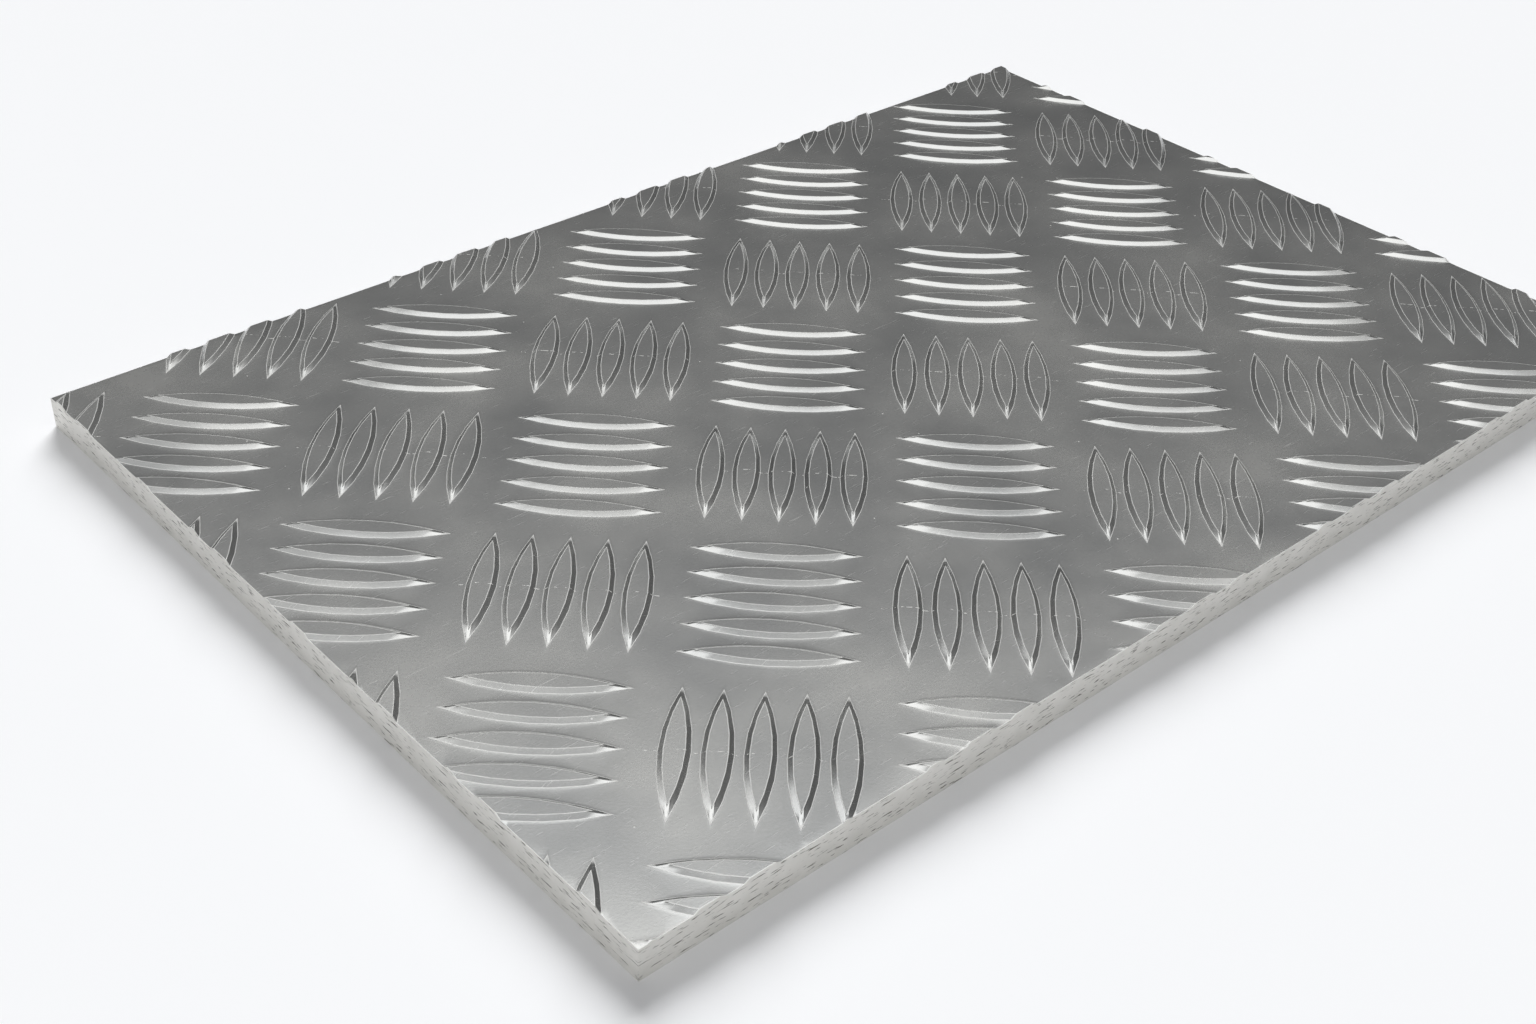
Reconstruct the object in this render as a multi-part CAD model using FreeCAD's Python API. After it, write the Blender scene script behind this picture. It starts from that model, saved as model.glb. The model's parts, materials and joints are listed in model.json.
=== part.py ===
"""Aluminium checker plate with a five-bar tread, a flat piece of rolled stock sheared to size.

Frame: millimetres, +Z up, origin at the bottom centre of the plate.
X runs along the plate's long edges and Y along its short edges.
The underside is plain and lies at Z = 0. The tread bars stand on the upper face.

The tread is rolled in groups of parallel bars. Row groups have their bars along the
pattern's rows, cross groups have them square to the rows, and the two alternate like the
squares of a chessboard. The shear cuts through whatever bars lie on the blank's outline.
"""

import FreeCAD
import Part
import math
import os

# The sheared blank
plate_length = 250.0
plate_width = 170.0
base_thickness = 6.0

# Section of a tread bar: a lens in plan, with sloping flanks and a flat top
bar_width = 4.6
bar_relief = 0.6
flank_run = 0.8

# Bars of a row group, and the clear gap between two of them at their widest
row_bar_length = 27.4
row_bar_gap = 2.15

# Bars of a cross group, and the clear gap between two of them at their widest
cross_bar_length = 27.9
cross_bar_gap = 1.65

# Groups: how many bars, and the clear gap from the bar tips of one group to the side
# of the next group, along the rows and square to them
bars_per_group = 5
tip_gap_along_rows = 5.5
tip_gap_across_rows = 6.55

# How the pattern lies on the blank: the turn of its rows from the long edges in degrees,
# and the centre of one row group
pattern_turn = -44.2
pattern_x = -113.1
pattern_y = -43.85

# How deep a bar's own solid reaches into the sheet, so that the two join as one
root_depth = 0.5

NODE = "checker_plate"
UP = FreeCAD.Vector(0.0, 0.0, 1.0)

row_bar_pitch = bar_width + row_bar_gap
cross_bar_pitch = bar_width + cross_bar_gap
row_group_width = (bars_per_group - 1) * row_bar_pitch + bar_width
cross_group_width = (bars_per_group - 1) * cross_bar_pitch + bar_width
pitch_along_rows = (row_bar_length + cross_group_width) / 2.0 + tip_gap_along_rows
pitch_across_rows = (cross_bar_length + row_group_width) / 2.0 + tip_gap_across_rows


def tread_bar(length):
    """One bar along X, centred on the origin, its foot at Z = 0 and its root below.

    Each long side of the lens is an arc, so a bar is what two upright cones share.
    """
    half_length = length / 2.0
    half_width = bar_width / 2.0
    foot_radius = (half_length ** 2 + half_width ** 2) / (2.0 * half_width)
    centre_offset = foot_radius - half_width
    root_radius = foot_radius + flank_run * root_depth / bar_relief
    top_radius = foot_radius - flank_run
    height = root_depth + bar_relief
    sides = []
    for side in (-1.0, 1.0):
        centre = FreeCAD.Vector(0.0, side * centre_offset, -root_depth)
        sides.append(Part.makeCone(root_radius, top_radius, height, centre))
    return sides[0].common(sides[1])


def group_shifts(pitch):
    """The offset of each bar of a group from the group's centre, square to the bars."""
    middle = (bars_per_group - 1) / 2.0
    return [(index - middle) * pitch for index in range(bars_per_group)]


def bar_places(cross):
    """Centre and turn of the bars of every row group, or every cross group, near the blank."""
    turn = math.radians(pattern_turn)
    reach = math.hypot(plate_length, plate_width) / 2.0 + math.hypot(pattern_x, pattern_y)
    steps = math.ceil(reach / min(pitch_along_rows, pitch_across_rows)) + 1
    places = []
    for column in range(-steps, steps + 1):
        for row in range(-steps, steps + 1):
            if (column + row) % 2 != int(cross):
                continue
            for shift in group_shifts(cross_bar_pitch if cross else row_bar_pitch):
                along = column * pitch_along_rows + (shift if cross else 0.0)
                across = row * pitch_across_rows + (0.0 if cross else shift)
                x = pattern_x + along * math.cos(turn) - across * math.sin(turn)
                y = pattern_y + along * math.sin(turn) + across * math.cos(turn)
                places.append((x, y, pattern_turn + (90.0 if cross else 0.0)))
    return places


def blank(height):
    """A block with the blank's outline, standing on Z = 0."""
    corner = FreeCAD.Vector(-plate_length / 2.0, -plate_width / 2.0, 0.0)
    return Part.makeBox(plate_length, plate_width, height, corner)


def bars_on_blank(bar, places, column):
    """Copies of a bar at the given places: whole inside the blank, cut off at its edges."""
    outline = column.BoundBox
    kept = []
    for x, y, degrees in places:
        placed = bar.copy()
        turn = FreeCAD.Rotation(UP, degrees)
        placed.Placement = FreeCAD.Placement(FreeCAD.Vector(x, y, base_thickness), turn)
        if outline.isInside(placed.BoundBox):
            kept.append(placed)
        elif outline.intersect(placed.BoundBox):
            kept.extend(placed.common(column).Solids)
    return kept


def checker_plate():
    """The sheet and its tread bars as the one piece that the rolls and the shear leave."""
    column = blank(base_thickness + 2.0 * bar_relief)
    bars = bars_on_blank(tread_bar(row_bar_length), bar_places(False), column)
    bars += bars_on_blank(tread_bar(cross_bar_length), bar_places(True), column)
    return blank(base_thickness).multiFuse(bars).removeSplitter()


os.makedirs("parts", exist_ok=True)
plate = checker_plate()
if len(plate.Solids) != 1 or not plate.isValid():
    raise ValueError("the sheet and its bars did not join as one solid")
plate.Solids[0].exportStep(os.path.join("parts", NODE + ".step"))
print(NODE, "faces", len(plate.Faces), "volume", round(plate.Volume, 1))
print("group pitch", round(pitch_along_rows, 3), round(pitch_across_rows, 3))
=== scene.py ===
"""Aluminium checker plate: the rolled and sheared piece with its finish, and a plain studio.

The file is laid out as a Blender add-on and is run as a script. Lengths are metres.
"""

import json
import math

import bpy
from bpy.props import FloatProperty, FloatVectorProperty, IntProperty, PointerProperty, StringProperty
from bpy.types import Operator, Panel, PropertyGroup
from mathutils import Matrix, Vector

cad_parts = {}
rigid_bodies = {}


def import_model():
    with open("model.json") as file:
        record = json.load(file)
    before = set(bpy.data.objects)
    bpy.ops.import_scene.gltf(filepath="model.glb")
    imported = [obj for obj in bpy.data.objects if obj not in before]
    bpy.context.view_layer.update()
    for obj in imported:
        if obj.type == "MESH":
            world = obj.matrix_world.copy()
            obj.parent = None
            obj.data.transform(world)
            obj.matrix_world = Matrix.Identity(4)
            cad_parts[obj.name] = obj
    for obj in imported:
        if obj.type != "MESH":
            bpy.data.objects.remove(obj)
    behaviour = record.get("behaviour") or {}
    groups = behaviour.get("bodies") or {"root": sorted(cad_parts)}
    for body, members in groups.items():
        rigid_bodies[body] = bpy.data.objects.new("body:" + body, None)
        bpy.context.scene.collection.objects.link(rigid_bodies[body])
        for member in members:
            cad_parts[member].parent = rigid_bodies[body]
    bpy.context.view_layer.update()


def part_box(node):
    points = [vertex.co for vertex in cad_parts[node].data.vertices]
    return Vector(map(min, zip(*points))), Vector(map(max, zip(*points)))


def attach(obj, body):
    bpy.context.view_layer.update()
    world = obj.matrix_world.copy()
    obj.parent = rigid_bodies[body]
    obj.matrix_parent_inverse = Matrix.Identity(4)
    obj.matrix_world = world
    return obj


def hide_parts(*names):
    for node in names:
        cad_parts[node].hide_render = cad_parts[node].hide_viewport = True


bl_info = {
    "name": "Aluminium Checker Plate",
    "version": (1, 0, 0),
    "blender": (4, 5, 0),
    "location": "3D View > Sidebar > Plate",
    "description": "A sheared piece of five-bar aluminium tread plate in a plain studio",
    "category": "Object",
}

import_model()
NODE = "checker_plate"
EDGE_HIGHLIGHT = "worn"  # how strongly a painted highlight line brightens the metal there, from 0 to 1
LOW, HIGH = (Vector(corner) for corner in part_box(NODE))
MM = 0.001
WELD = 0.001 * MM
ENLARGED = 1000.0  # fill and bisect lose small edges, so they work on the mesh at this size
UPRIGHT = 0.1  # the most that an upright face's normal may lean up or down

# Handling scratches, one layer each: turn in degrees, length and width in mm, noise level they start at.
HAIRLINES = (
    (18.0, 5.0, 0.18, 0.74),
    (76.0, 4.0, 0.16, 0.74),
    (137.0, 6.0, 0.2, 0.75),
    (90.0, 14.0, 0.35, 0.77),
)
HAIRLINE_FADE = 0.06  # how far above that level a scratch is full strength
HAIRLINE_SHARE = 0.25  # how bright a scratch is beside a painted highlight line

# The room's light: sine of the height above the horizon, and how bright the room is there.
ROOM_LEVELS = ((0.0, 0.09), (0.4, 0.15), (0.6, 0.25), (0.72, 0.62), (1.0, 0.45))


# ---------------------------------------------------------------- settings

def length(name, description, default_mm):
    """A length property, its default given in millimetres."""
    metres = default_mm * MM
    return FloatProperty(name=name, description=description, default=metres, unit="LENGTH", precision=5)


def angle(name, description, default_degrees):
    """An angle property, its default given in degrees."""
    turn = math.radians(default_degrees)
    return FloatProperty(name=name, description=description, default=turn, subtype="ANGLE", unit="ROTATION")


def place(name, description, default_mm):
    """A point property, its default given in millimetres."""
    point = [value * MM for value in default_mm]
    return FloatVectorProperty(
        name=name, description=description, default=point, subtype="TRANSLATION", unit="LENGTH", precision=5
    )


def power(name, description, default_watts):
    """A lamp power property in watts."""
    return FloatProperty(name=name, description=description, default=default_watts, unit="POWER", min=0.0)


def colour(name, description, default_hex):
    """A colour property, its default given as an sRGB hex value."""
    return StringProperty(name=name, description=description, default=default_hex)


class PlateSizes(PropertyGroup):
    """Sizes of the sheared blank and of its rolled tread."""

    base_thickness: length("Base thickness", "Sheet thickness between the bars", 6.0)
    bar_width: length("Bar width", "Width of a bar at its foot", 4.6)
    flank_run: length("Flank run", "How far a bar's flank leans in from foot to top", 0.8)
    row_bar_length: length("Row bar length", "Bars that lie along the pattern's rows", 27.4)
    row_bar_gap: length("Row bar gap", "Clear gap between two row bars", 2.15)
    cross_bar_length: length("Cross bar length", "Bars that lie square to the rows", 27.9)
    cross_bar_gap: length("Cross bar gap", "Clear gap between two cross bars", 1.65)
    tip_gap_along: length("Tip gap along rows", "From the tips of one group to the next", 5.5)
    tip_gap_across: length("Tip gap across rows", "From the tips of one group to the next", 6.55)
    bars_per_group: IntProperty(name="Bars per group", description="Parallel bars in one group", default=5)
    pattern_x: length("Pattern X", "Centre of one row group, along the plate", -113.1)
    pattern_y: length("Pattern Y", "Centre of one row group, across the plate", -43.85)
    pattern_turn: angle("Pattern turn", "Turn of the rows from the long edges", -44.2)
    foot_blend: length("Foot blend", "How far the rolled hollow reaches out from a bar's foot", 0.75)
    # The bright lines along a bar's foot and top edge are painted highlight lines.
    highlight_line: length("Bright line", "Half width of the bright lines along a bar's foot and top edge", 0.075)
    ridge_round: length("Ridge round", "Half width of the blunt ridge at a bar's tip", 0.4)
    edge_drag: length("Edge drag", "Width of the strip that the shear drags down along the top edge", 0.16)
    edge_drop: length("Edge drop", "How far the shear drags the top edge down", 0.05)
    arc_steps: IntProperty(name="Arc steps", description="Edges along each long side of a bar", default=6)
    shear_margin: length("Shear margin", "Tread modelled past the blank before it is cut", 30.0)


class FinishColours(PropertyGroup):
    """Colours of the metal and of the studio floor."""

    sheet: colour("Sheet", "Rolled face of the aluminium", "#E4E4E1")
    sheet_dull: colour("Dull sheet", "Rolled face where rolling oil clouds it", "#C9CBCB")
    # Colour of the painted highlight lines along the bars and the sheared rim, and of the real hairlines,
    # nicks and specks.
    worn: colour("Bright line", "Painted edge highlights, hairlines and nicks", "#FAFAF8")
    cut: colour("Cut edge", "Sheared face of the aluminium", "#F0EFEC")
    cut_dull: colour("Dull cut edge", "Duller patches of the sheared face", "#E0DFDB")
    tear: colour("Tear", "Short tears in the sheared face", "#77756F")
    floor: colour("Floor", "Studio floor", "#F4F5F7")


class StudioSizes(PropertyGroup):
    """Camera, lamps and floor."""

    camera_place: place("Camera place", "Where the camera stands", (-233.03, -222.73, 199.27))
    camera_aim: place("Camera aim", "The point at the middle of the view", (-47.55, -22.47, 6.0))
    camera_roll: angle("Camera roll", "How far the camera leans to its left", 2.37)
    lens: FloatProperty(name="Lens", description="Focal length in millimetres, on 36 mm film", default=46.36)
    floor_size: length("Floor size", "Side of the square floor", 80000.0)
    lamp_distance: length("Lamp distance", "From the plate to each softbox", 1200.0)
    top_bearing: angle("Top bearing", "Turn of the overhead softbox from +X, seen from the plate", 55.0)
    top_height: angle("Top height", "Angle of the overhead softbox above the floor", 82.0)
    top_size: length("Top size", "Side of the overhead softbox", 1260.0)
    top_power: power("Top power", "Power of the overhead softbox", 4.3)
    left_bearing: angle("Left bearing", "Turn of the left softbox from +X, seen from the plate", 110.0)
    left_height: angle("Left height", "Angle of the left softbox above the floor", 25.0)
    left_size: length("Left size", "Side of the left softbox", 450.0)
    left_power: power("Left power", "Power of the left softbox", 0.7)
    front_bearing: angle("Front bearing", "Turn of the front softbox from +X, seen from the plate", 227.0)
    front_height: angle("Front height", "Angle of the front softbox above the floor", 14.0)
    front_size: length("Front size", "Side of the front softbox", 1600.0)
    front_power: power("Front power", "Power of the front softbox", 10.0)
    key_bearing: angle("Key bearing", "Turn of the key light from +X, seen from the plate", 50.0)
    key_height: angle("Key height", "Angle of the key light above the floor", 33.0)
    key_spread: angle("Key spread", "How wide the key light looks from the plate", 36.0)
    key_strength: FloatProperty(
        name="Key strength", description="Key light in watts per square metre", default=3.75, min=0.0
    )


# ---------------------------------------------------------------- modelling helpers

def select_only(obj):
    """Leave one object selected and active."""
    bpy.ops.object.select_all(action="DESELECT")
    obj.select_set(True)
    bpy.context.view_layer.objects.active = obj


def edit(obj, mode="VERT"):
    """Open one object in edit mode afresh, with nothing in it selected."""
    if bpy.context.mode != "OBJECT":
        done()
    select_only(obj)
    bpy.ops.object.mode_set(mode="EDIT")
    bpy.ops.mesh.select_mode(type=mode)
    bpy.ops.mesh.select_all(action="DESELECT")


def done():
    """Leave edit mode."""
    bpy.ops.object.mode_set(mode="OBJECT")


def pick(obj, elements, test):
    """Select only the vertices, edges or polygons of an edited mesh that pass a test."""
    bpy.ops.mesh.select_all(action="DESELECT")
    done()
    for element in getattr(obj.data, elements):
        element.select = test(element)
    bpy.ops.object.mode_set(mode="EDIT")


def named(name):
    """Name the active object and its mesh, and return it."""
    obj = bpy.context.active_object
    obj.name = name
    obj.data.name = name
    return obj


def settle(obj):
    """Put an object's place, turn and size into its mesh."""
    select_only(obj)
    bpy.ops.object.transform_apply(location=True, rotation=True, scale=True)


def resize(obj, factor):
    """Scale a mesh about the origin."""
    obj.scale = (factor, factor, factor)
    settle(obj)


def face_up(obj):
    """Turn an edited shell over if its last made face, its top, looks down."""
    done()
    upside_down = obj.data.polygons[-1].normal.z < 0.0
    bpy.ops.object.mode_set(mode="EDIT")
    if upside_down:
        bpy.ops.mesh.flip_normals()


def apply_modifier(obj, kind, **settings):
    """Add a modifier with its settings and apply it."""
    select_only(obj)
    bpy.ops.object.modifier_add(type=kind)
    modifier = obj.modifiers[-1]
    for key, value in settings.items():
        setattr(modifier, key, value)
    bpy.ops.object.modifier_apply(modifier=modifier.name)


def repeat(obj, count, step):
    """Repeat a mesh along a step."""
    apply_modifier(
        obj,
        "ARRAY",
        use_relative_offset=False,
        use_constant_offset=True,
        constant_offset_displace=step,
        count=count,
    )


# ---------------------------------------------------------------- the plate's mesh

def bar_profile(sizes):
    """Rings of a bar from its outer line to its flat top: how far in, how far up, and how strong a painted
    highlight line is there.
    """
    relief = HIGH.z - LOW.z - sizes.base_thickness
    run = sizes.flank_run
    line = sizes.highlight_line
    return (
        (-sizes.foot_blend, 0.0, 0.0),
        (-2.9 * line, 0.05 * relief, 0.0),
        (-1.8 * line, 0.06 * relief, 1.0),
        (-0.8 * line, 0.08 * relief, 0.0),
        (run - 2.4 * line, 0.98 * relief, 0.0),
        (run - 1.3 * line, 0.993 * relief, 1.0),
        (run, relief, 0.0),
    )


def model_bar(sizes, bar_length, name):
    """One tread bar along X: a lens drawn with two arcs, drawn up and in to its flat top."""
    half_length = bar_length / 2.0
    half_width = sizes.bar_width / 2.0
    foot_radius = (half_length ** 2 + half_width ** 2) / (2.0 * half_width)
    offset = foot_radius - half_width
    rings = []
    highlight_at = []
    for inwards, height, worn in bar_profile(sizes):
        radius = foot_radius - inwards
        rings.append((math.sqrt(radius ** 2 - offset ** 2), radius - offset, height))
        highlight_at.append((sizes.base_thickness + height, worn))
    outer_tip = rings[0][0]
    sweep = 2.0 * math.atan(outer_tip / offset)

    bpy.ops.mesh.primitive_plane_add(size=MM, location=(0.0, 0.0, 0.0))
    bar = named(name)
    edit(bar)
    bpy.ops.mesh.select_all(action="SELECT")
    bpy.ops.mesh.merge(type="CENTER")
    bpy.ops.transform.translate(value=(-outer_tip, 0.0, sizes.base_thickness))
    for side in (-1.0, 1.0):
        centre = (0.0, side * offset, 0.0)
        bpy.ops.mesh.spin(steps=sizes.arc_steps, angle=sweep, center=centre, axis=(0.0, 0.0, 1.0))
    bpy.ops.mesh.select_all(action="SELECT")
    bpy.ops.mesh.remove_doubles(threshold=WELD)
    bpy.ops.mesh.select_mode(type="EDGE")
    bpy.ops.mesh.select_all(action="SELECT")
    for (last_tip, last_side, last_up), (tip, side, up) in zip(rings, rings[1:]):
        bpy.ops.mesh.extrude_edges_move(TRANSFORM_OT_translate={"value": (0.0, 0.0, up - last_up)})
        inwards = (tip / last_tip, side / last_side, 1.0)
        bpy.ops.transform.resize(value=inwards, center_override=(0.0, 0.0, 0.0))
    bpy.ops.mesh.edge_face_add()
    bpy.ops.mesh.select_all(action="SELECT")
    bpy.ops.mesh.normals_make_consistent(inside=False)
    face_up(bar)

    points = bar.data.vertices
    foot = highlight_at[3][0] - WELD
    top = highlight_at[4][0] + WELD

    def on_ridge(index):
        return abs(points[index].co.y) < WELD and foot < points[index].co.z < top

    pick(bar, "edges", lambda edge: all(on_ridge(index) for index in edge.vertices))
    bpy.ops.mesh.bevel(offset=sizes.ridge_round, segments=1, affect="EDGES", clamp_overlap=False)
    done()
    # Rings that carry a painted highlight line get 1 and the rest get 0.
    highlight_lines = bar.data.attributes.new(EDGE_HIGHLIGHT, "FLOAT", "POINT")
    for point, value in zip(bar.data.vertices, highlight_lines.data):
        value.value = min(highlight_at, key=lambda ring: abs(ring[0] - point.co.z))[1]
    return bar


def group_steps(sizes):
    """The two steps that lead from a group to the next groups of its own kind."""
    row_group = sizes.bars_per_group * (sizes.bar_width + sizes.row_bar_gap) - sizes.row_bar_gap
    cross_group = sizes.bars_per_group * (sizes.bar_width + sizes.cross_bar_gap) - sizes.cross_bar_gap
    along = (sizes.row_bar_length + cross_group) / 2.0 + sizes.tip_gap_along
    across = (sizes.cross_bar_length + row_group) / 2.0 + sizes.tip_gap_across
    return Vector((along, across, 0.0)), Vector((along, -across, 0.0))


def lay_row_bars(sizes):
    """All the row groups, over more than the whole blank."""
    bars = model_bar(sizes, sizes.row_bar_length, "row_bars")
    pitch = sizes.bar_width + sizes.row_bar_gap
    repeat(bars, sizes.bars_per_group, (0.0, pitch, 0.0))
    bars.location.y = -pitch * (sizes.bars_per_group - 1) / 2.0
    settle(bars)
    spread(sizes, bars)
    return bars


def lay_cross_bars(sizes):
    """All the cross groups, one step along the rows from the row groups."""
    bars = model_bar(sizes, sizes.cross_bar_length, "cross_bars")
    pitch = sizes.bar_width + sizes.cross_bar_gap
    repeat(bars, sizes.bars_per_group, (0.0, pitch, 0.0))
    bars.rotation_euler.z = math.radians(90.0)
    bars.location.x = group_steps(sizes)[0].x + pitch * (sizes.bars_per_group - 1) / 2.0
    settle(bars)
    spread(sizes, bars)
    return bars


def spread(sizes, bars):
    """Repeat a group over the pattern, turn the pattern and drop what lies off the uncut sheet."""
    reach = HIGH.length + sizes.shear_margin + Vector((sizes.pattern_x, sizes.pattern_y)).length
    for step in group_steps(sizes):
        count = 2 * math.ceil(reach / step.length) + 1
        repeat(bars, count, step)
        bars.location = -step * (count // 2)
        settle(bars)
    bars.location = (sizes.pattern_x, sizes.pattern_y, 0.0)
    bars.rotation_euler.z = sizes.pattern_turn
    settle(bars)

    edit(bars)
    half_x = HIGH.x + sizes.shear_margin
    half_y = HIGH.y + sizes.shear_margin
    pick(bars, "vertices", lambda point: abs(point.co.x) > half_x or abs(point.co.y) > half_y)
    bpy.ops.mesh.select_linked()
    bpy.ops.mesh.delete(type="VERT")
    done()


def join_with_sheet(sizes, bars):
    """The uncut plate: its bars, the level sheet between them and a plain underside."""
    bpy.ops.mesh.primitive_plane_add(size=2.0, location=(0.0, 0.0, sizes.base_thickness))
    plate = named("tread_plate")
    plate.scale = (HIGH.x + sizes.shear_margin + MM, HIGH.y + sizes.shear_margin + MM, 1.0)
    settle(plate)
    edit(plate, "FACE")
    bpy.ops.mesh.select_all(action="SELECT")
    bpy.ops.mesh.delete(type="ONLY_FACE")
    done()
    for bar in bars:
        bar.select_set(True)
    bpy.ops.object.join()

    resize(plate, ENLARGED)
    edit(plate, "EDGE")
    bpy.ops.mesh.select_non_manifold(extend=False)
    bpy.ops.mesh.fill(use_beauty=True)
    edit(plate, "EDGE")
    bpy.ops.mesh.select_non_manifold(extend=False)
    drop = -sizes.base_thickness * ENLARGED
    bpy.ops.mesh.extrude_edges_move(TRANSFORM_OT_translate={"value": (0.0, 0.0, drop)})
    bpy.ops.mesh.edge_face_add()
    bpy.ops.mesh.select_all(action="SELECT")
    bpy.ops.mesh.normals_make_consistent(inside=False)
    return plate


def shear(sizes, plate):
    """Cut the blank's four sides through sheet and bars alike, drag the cut's top edge down, and paint a
    highlight line along that edge.
    """
    for axis in (0, 1):
        for side, limit in ((-1.0, LOW), (1.0, HIGH)):
            outwards = Vector((0.0, 0.0, 0.0))
            outwards[axis] = side
            line = Vector((0.0, 0.0, 0.0))
            line[axis] = (limit[axis] - side * sizes.edge_drag) * ENLARGED
            bpy.ops.mesh.select_all(action="SELECT")
            bpy.ops.mesh.bisect(plane_co=line, plane_no=outwards)
            line[axis] = limit[axis] * ENLARGED
            bpy.ops.mesh.select_all(action="SELECT")
            bpy.ops.mesh.bisect(plane_co=line, plane_no=outwards, use_fill=True, clear_outer=True)
    bpy.ops.mesh.select_all(action="SELECT")
    bpy.ops.mesh.dissolve_degenerate(threshold=WELD * ENLARGED)
    done()
    resize(plate, 1.0 / ENLARGED)

    def on_rim(point):
        beyond = max(abs(point.co.x) - HIGH.x, abs(point.co.y) - HIGH.y)
        return beyond > -WELD and point.co.z > sizes.base_thickness - WELD

    edit(plate)
    pick(plate, "vertices", on_rim)
    bpy.ops.transform.translate(value=(0.0, 0.0, -sizes.edge_drop))
    done()
    # The dragged-down top edge of the cut gets a full painted highlight line.
    for point, value in zip(plate.data.vertices, plate.data.attributes[EDGE_HIGHLIGHT].data):
        if point.select:
            value.value = 1.0


def finish_shading(plate):
    """Smooth the rolled curves and keep the flats flat."""
    select_only(plate)
    bpy.ops.object.shade_smooth_by_angle(angle=math.radians(32.0))
    apply_modifier(plate, "WEIGHTED_NORMAL", mode="FACE_AREA", weight=50, keep_sharp=True)


# ---------------------------------------------------------------- materials

def linear(hex_value):
    """An sRGB hex colour as linear RGBA."""
    channels = [int(hex_value[at:at + 2], 16) / 255.0 for at in (1, 3, 5)]
    curve = [value / 12.92 if value <= 0.04045 else ((value + 0.055) / 1.055) ** 2.4 for value in channels]
    return (*curve, 1.0)


def add(tree, kind, inputs=None, **settings):
    """Add a node with its settings, and fill or link its inputs by name or number."""
    node = tree.nodes.new(kind)
    for key, value in settings.items():
        setattr(node, key, value)
    for key, value in (inputs or {}).items():
        if isinstance(value, bpy.types.NodeSocket):
            tree.links.new(value, node.inputs[key])
        else:
            node.inputs[key].default_value = value
    return node


def blank_material(name):
    """A material with an empty node tree."""
    material = bpy.data.materials.new(name)
    material.use_nodes = True
    material.node_tree.nodes.clear()
    return material


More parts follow.
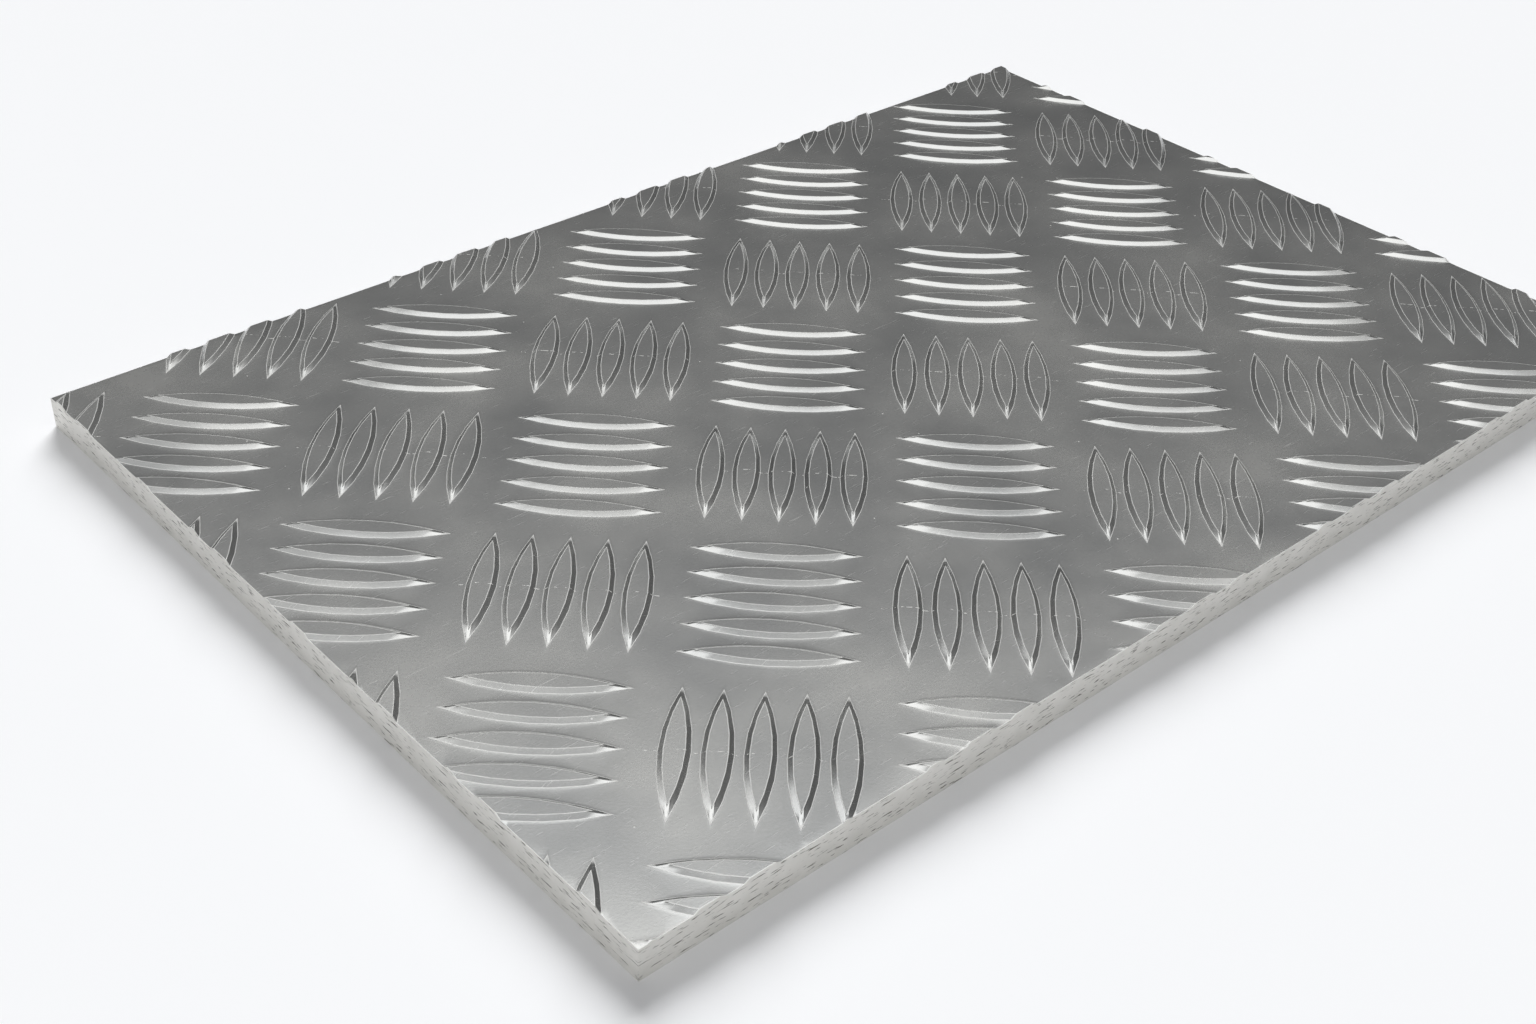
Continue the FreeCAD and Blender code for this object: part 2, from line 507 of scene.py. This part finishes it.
def rolled_aluminium(sizes, colours):
    """Mill-finish aluminium, hot rolled between a patterned and a plain roll.

    A satin grey mirror, cloudy from the rolling oil, with a fine grain, hairline handling
    scratches, a few bright nicks, and painted highlight lines along the bars' feet, the bars'
    top edges and the sheared rim.
    """
    material = blank_material("rolled_mill_finish_aluminium")
    tree = material.node_tree
    where = add(tree, "ShaderNodeTexCoord").outputs["Object"]

    # Rolling oil and handling leave clouds about 25 mm across.
    clouds = add(tree, "ShaderNodeTexNoise", {"Vector": where, "Scale": 1.0 / (25.0 * MM), "Detail": 4.0})
    # Real rolling grain is under 0.1 mm; it is drawn at 0.5 mm so that it shows.
    grain = add(tree, "ShaderNodeTexNoise", {"Vector": where, "Scale": 1.0 / (0.5 * MM), "Detail": 3.0})

    # Real hairlines are about 0.03 mm wide; these are 0.16 to 0.35 mm wide so that they show.
    hairs = 0.0
    for turn, reach, width, above in HAIRLINES:
        laid = add(
            tree,
            "ShaderNodeMapping",
            {
                "Vector": where,
                "Rotation": (0.0, 0.0, math.radians(turn)),
                "Scale": (1.0 / (reach * MM), 1.0 / (width * MM), 1.0 / (reach * MM)),
            },
            vector_type="POINT",
        )
        streaks = add(tree, "ShaderNodeTexNoise", {"Vector": laid.outputs[0], "Scale": 1.0, "Detail": 1.0})
        sharp = add(
            tree,
            "ShaderNodeMapRange",
            {"Value": streaks.outputs[0], "From Min": above, "From Max": above + HAIRLINE_FADE},
        )
        hairs = add(tree, "ShaderNodeMath", {0: sharp.outputs[0], 1: hairs}, operation="MAXIMUM").outputs[0]

    # Nicks: bright dents 0.25 mm across, about one in every 5 mm.
    cells = add(tree, "ShaderNodeTexVoronoi", {"Vector": where, "Scale": 1.0 / (5.0 * MM)})
    near = add(
        tree,
        "ShaderNodeMapRange",
        {"Value": cells.outputs["Distance"], "From Min": 0.035, "From Max": 0.02},
    )
    chosen = add(tree, "ShaderNodeMath", {0: cells.outputs["Color"], 1: 0.55}, operation="GREATER_THAN")
    nicks = add(tree, "ShaderNodeMath", {0: near.outputs[0], 1: chosen.outputs[0]}, operation="MULTIPLY")

    # The roll's joint prints a thin row of specks, meant for the middle of each cross group. Real
    # specks are under 0.1 mm; the row is drawn 0.2 mm wide so that it shows.
    along, across = group_steps(sizes)[0].xy
    cell = add(
        tree,
        "ShaderNodeMapping",
        {
            "Vector": where,
            "Location": (sizes.pattern_x, sizes.pattern_y, 0.0),
            "Rotation": (0.0, 0.0, sizes.pattern_turn),
            "Scale": (along, across, 1.0),
        },
        vector_type="TEXTURE",
    )
    in_cell = add(tree, "ShaderNodeVectorMath", {0: cell.outputs[0], 1: (0.5, 0.5, 0.5)}, operation="ADD")
    kind = add(tree, "ShaderNodeTexChecker", {"Vector": in_cell.outputs[0], "Scale": 1.0})
    row = add(tree, "ShaderNodeSeparateXYZ", {"Vector": cell.outputs[0]})
    off_joint = add(tree, "ShaderNodeMath", {0: row.outputs["Y"], 1: 0.5}, operation="PINGPONG")
    joint = add(
        tree,
        "ShaderNodeMapRange",
        {
            "Value": off_joint.outputs[0],
            "From Min": 0.11 * MM / across,
            "From Max": 0.05 * MM / across,
            "To Max": kind.outputs["Fac"],
        },
    )
    crumbs = add(tree, "ShaderNodeTexNoise", {"Vector": where, "Scale": 1.0 / (0.7 * MM), "Detail": 1.0})
    crumb = add(tree, "ShaderNodeMapRange", {"Value": crumbs.outputs[0], "From Min": 0.56, "From Max": 0.62})
    specks = add(tree, "ShaderNodeMath", {0: joint.outputs[0], 1: crumb.outputs[0]}, operation="MULTIPLY")

    # The painted highlight lines along each bar's foot and top edge and along the sheared rim; the
    # hairlines, nicks and specks joined with them are real marks.
    worn = add(tree, "ShaderNodeAttribute", attribute_name=EDGE_HIGHLIGHT, attribute_type="GEOMETRY").outputs["Fac"]
    marks_and_highlights = add(tree, "ShaderNodeMath", {0: hairs, 1: HAIRLINE_SHARE}, operation="MULTIPLY")
    marks_and_highlights = add(tree, "ShaderNodeMath", {0: marks_and_highlights.outputs[0], 1: nicks.outputs[0]}, operation="MAXIMUM")
    marks_and_highlights = add(tree, "ShaderNodeMath", {0: marks_and_highlights.outputs[0], 1: specks.outputs[0]}, operation="MAXIMUM")
    marks_and_highlights = add(tree, "ShaderNodeMath", {0: marks_and_highlights.outputs[0], 1: worn}, operation="MAXIMUM")

    cloud = add(tree, "ShaderNodeMapRange", {"Value": clouds.outputs[0], "From Min": 0.2, "From Max": 0.8})
    cloudy = add(
        tree,
        "ShaderNodeMix",
        {"Factor": cloud.outputs[0], 6: linear(colours.sheet_dull), 7: linear(colours.sheet)},
        data_type="RGBA",
    )
    bright = add(
        tree,
        "ShaderNodeMix",
        {"Factor": marks_and_highlights.outputs[0], 6: cloudy.outputs[2], 7: linear(colours.worn)},
        data_type="RGBA",
    )
    satin = add(
        tree,
        "ShaderNodeMapRange",
        {"Value": clouds.outputs[0], "From Min": 0.3, "From Max": 0.7, "To Min": 0.19, "To Max": 0.29},
    )
    speckled = add(
        tree,
        "ShaderNodeMath",
        {0: grain.outputs[0], 1: 0.10, 2: satin.outputs[0]},
        operation="MULTIPLY_ADD",
    )
    evened = add(tree, "ShaderNodeMath", {0: speckled.outputs[0], 1: 0.05}, operation="SUBTRACT")
    rough = add(
        tree,
        "ShaderNodeMath",
        {0: marks_and_highlights.outputs[0], 1: 0.6, 2: evened.outputs[0]},
        operation="MULTIPLY_ADD",
    )
    bump = add(
        tree,
        "ShaderNodeBump",
        {"Height": grain.outputs[0], "Strength": 0.07, "Distance": 0.1 * MM},
    )
    shader = add(
        tree,
        "ShaderNodeBsdfPrincipled",
        {
            "Base Color": bright.outputs[2],
            "Metallic": 1.0,
            "Roughness": rough.outputs[0],
            "Normal": bump.outputs[0],
        },
    )
    add(tree, "ShaderNodeOutputMaterial", {"Surface": shader.outputs[0]})
    return material


def sheared_aluminium(colours):
    """Aluminium cut by guillotine shears.

    Paler and duller than the rolled face, with short dark tears that lean with the blade.
    """
    material = blank_material("sheared_aluminium_edge")
    tree = material.node_tree
    where = add(tree, "ShaderNodeTexCoord").outputs["Object"]
    parts = add(tree, "ShaderNodeSeparateXYZ", {"Vector": where})
    along = add(tree, "ShaderNodeMath", {0: parts.outputs["X"], 1: parts.outputs["Y"]}, operation="ADD")
    face = add(tree, "ShaderNodeCombineXYZ", {"X": along.outputs[0], "Y": parts.outputs["Z"]})

    # Tears lean over by 40 degrees, 2.5 mm long and 0.3 mm wide.
    leaning = add(
        tree,
        "ShaderNodeMapping",
        {
            "Vector": face.outputs[0],
            "Rotation": (0.0, 0.0, math.radians(-40.0)),
            "Scale": (1.0 / (2.5 * MM), 1.0 / (0.3 * MM), 1.0),
        },
    )
    streaks = add(tree, "ShaderNodeTexNoise", {"Vector": leaning.outputs[0], "Scale": 1.0, "Detail": 2.0})
    tears = add(
        tree,
        "ShaderNodeMapRange",
        {"Value": streaks.outputs[0], "From Min": 0.6, "From Max": 0.68},
    )
    mottle = add(tree, "ShaderNodeTexNoise", {"Vector": where, "Scale": 1.0 / (3.0 * MM), "Detail": 4.0})
    pale = add(
        tree,
        "ShaderNodeMix",
        {"Factor": mottle.outputs[0], 6: linear(colours.cut_dull), 7: linear(colours.cut)},
        data_type="RGBA",
    )
    torn = add(
        tree,
        "ShaderNodeMix",
        {"Factor": tears.outputs[0], 6: pale.outputs[2], 7: linear(colours.tear)},
        data_type="RGBA",
    )
    bump = add(
        tree,
        "ShaderNodeBump",
        {"Height": streaks.outputs[0], "Strength": 0.2, "Distance": 0.1 * MM},
    )
    shader = add(
        tree,
        "ShaderNodeBsdfPrincipled",
        {"Base Color": torn.outputs[2], "Metallic": 1.0, "Roughness": 0.7, "Normal": bump.outputs[0]},
    )
    add(tree, "ShaderNodeOutputMaterial", {"Surface": shader.outputs[0]})
    return material


def floor_paint(colours):
    """Matt studio floor paint: plain and pale, with no gloss."""
    material = blank_material("matt_floor_paint")
    tree = material.node_tree
    shader = add(tree, "ShaderNodeBsdfPrincipled", {"Base Color": linear(colours.floor), "Roughness": 0.9})
    add(tree, "ShaderNodeOutputMaterial", {"Surface": shader.outputs[0]})
    return material


# ---------------------------------------------------------------- operators

class PLATE_OT_plate(Operator):
    """Model the tread plate and give it its finish"""

    bl_idname = "plate.plate"
    bl_label = "Tread Plate"

    def execute(self, context):
        sizes = context.scene.plate_sizes
        plate = join_with_sheet(sizes, (lay_row_bars(sizes), lay_cross_bars(sizes)))
        shear(sizes, plate)
        finish_shading(plate)
        plate.data.materials.append(rolled_aluminium(sizes, context.scene.finish_colours))
        plate.data.materials.append(sheared_aluminium(context.scene.finish_colours))
        for polygon in plate.data.polygons:
            upright = abs(polygon.normal.z) < UPRIGHT
            at_side = max(abs(polygon.center.x) - HIGH.x, abs(polygon.center.y) - HIGH.y) > -0.1 * MM
            polygon.material_index = 1 if upright and at_side else 0
        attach(plate, "root")
        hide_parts(NODE)
        return {"FINISHED"}


class PLATE_OT_studio(Operator):
    """Set up the floor, the light and the camera"""

    bl_idname = "plate.studio"
    bl_label = "Studio"

    def execute(self, context):
        studio = context.scene.studio_sizes
        lay_floor(studio, context.scene.finish_colours)
        for name in ("top", "left", "front"):
            hang_softbox(studio, name)
        hang_key(studio)
        light_world()
        set_camera(studio)
        context.scene.view_settings.view_transform = "Standard"
        return {"FINISHED"}


def lay_floor(studio, colours):
    """The floor that the plate lies on."""
    bpy.ops.mesh.primitive_plane_add(size=studio.floor_size, location=(0.0, 0.0, 0.0))
    floor = named("studio_floor")
    floor.data.materials.append(floor_paint(colours))


def direction(bearing, height):
    """The direction from the plate at a bearing from +X and a height angle."""
    level = math.cos(height)
    return Vector((math.cos(bearing) * level, math.sin(bearing) * level, math.sin(height)))


def hang_softbox(studio, name):
    """A square softbox that faces the plate and shapes the metal's reflections only."""
    away = direction(getattr(studio, name + "_bearing"), getattr(studio, name + "_height"))
    turn = away.to_track_quat("Z", "Y").to_euler()
    bpy.ops.object.light_add(type="AREA", location=away * studio.lamp_distance, rotation=turn)
    lamp = bpy.context.active_object
    lamp.name = name + "_softbox"
    lamp.visible_diffuse = False
    lamp.visible_camera = False
    lamp.data.shape = "SQUARE"
    lamp.data.size = getattr(studio, name + "_size")
    lamp.data.energy = getattr(studio, name + "_power")


def hang_key(studio):
    """A wide soft light from behind that lights only the floor, evenly, and lays the shadow."""
    away = direction(studio.key_bearing, studio.key_height)
    turn = away.to_track_quat("Z", "Y").to_euler()
    bpy.ops.object.light_add(type="SUN", location=away * studio.lamp_distance, rotation=turn)
    lamp = bpy.context.active_object
    lamp.name = "back_key"
    lamp.visible_glossy = False
    lamp.data.angle = studio.key_spread
    lamp.data.energy = studio.key_strength


def light_world():
    """A dim room, brightest halfway up to its ceiling, which the overhead softbox lights as well."""
    world = bpy.data.worlds.new("studio_room")
    bpy.context.scene.world = world
    world.use_nodes = True
    tree = world.node_tree
    tree.nodes.clear()
    looking = add(tree, "ShaderNodeTexCoord")
    height = add(tree, "ShaderNodeSeparateXYZ", {"Vector": looking.outputs["Generated"]})
    ramp = add(tree, "ShaderNodeValToRGB", {"Fac": height.outputs["Z"]})
    elements = ramp.color_ramp.elements
    while len(elements) < len(ROOM_LEVELS):
        elements.new(0.5)
    for element, (position, level) in zip(elements, ROOM_LEVELS):
        element.position = position
        element.color = (level, level, level, 1.0)
    light = add(tree, "ShaderNodeBackground", {"Color": ramp.outputs["Color"], "Strength": 1.0})
    add(tree, "ShaderNodeOutputWorld", {"Surface": light.outputs[0]})


def set_camera(studio):
    """The camera, leaning slightly to its left."""
    forward = (Vector(studio.camera_aim) - Vector(studio.camera_place)).normalized()
    level = forward.cross(Vector((0.0, 0.0, 1.0))).normalized()
    right = Matrix.Rotation(-studio.camera_roll, 3, forward) @ level
    up = right.cross(forward)
    bpy.ops.object.camera_add(location=studio.camera_place)
    camera = bpy.context.active_object
    camera.rotation_euler = Matrix((right, up, -forward)).transposed().to_euler()
    camera.data.lens = studio.lens
    camera.data.clip_start = 0.01
    bpy.context.scene.camera = camera


# ---------------------------------------------------------------- panel and run

class PLATE_PT_sidebar(Panel):
    """Lists the piece, the studio and their settings"""

    bl_idname = "PLATE_PT_sidebar"
    bl_label = "Checker Plate"
    bl_space_type = "VIEW_3D"
    bl_region_type = "UI"
    bl_category = "Plate"

    def draw(self, context):
        for step in STEPS:
            self.layout.operator(step.bl_idname)
        for name in SETTINGS:
            group = getattr(context.scene, name)
            box = self.layout.box()
            for key in group.bl_rna.properties.keys():
                if key not in ("rna_type", "name"):
                    box.prop(group, key)


STEPS = (PLATE_OT_plate, PLATE_OT_studio)
SETTINGS = {"plate_sizes": PlateSizes, "finish_colours": FinishColours, "studio_sizes": StudioSizes}


def register():
    for group in (*SETTINGS.values(), *STEPS, PLATE_PT_sidebar):
        bpy.utils.register_class(group)
    for name, group in SETTINGS.items():
        setattr(bpy.types.Scene, name, PointerProperty(type=group))


def unregister():
    for name in SETTINGS:
        delattr(bpy.types.Scene, name)
    for group in reversed((*SETTINGS.values(), *STEPS, PLATE_PT_sidebar)):
        bpy.utils.unregister_class(group)


def main():
    register()
    bpy.ops.plate.plate()
    bpy.ops.plate.studio()


if __name__ == "__main__":
    main()
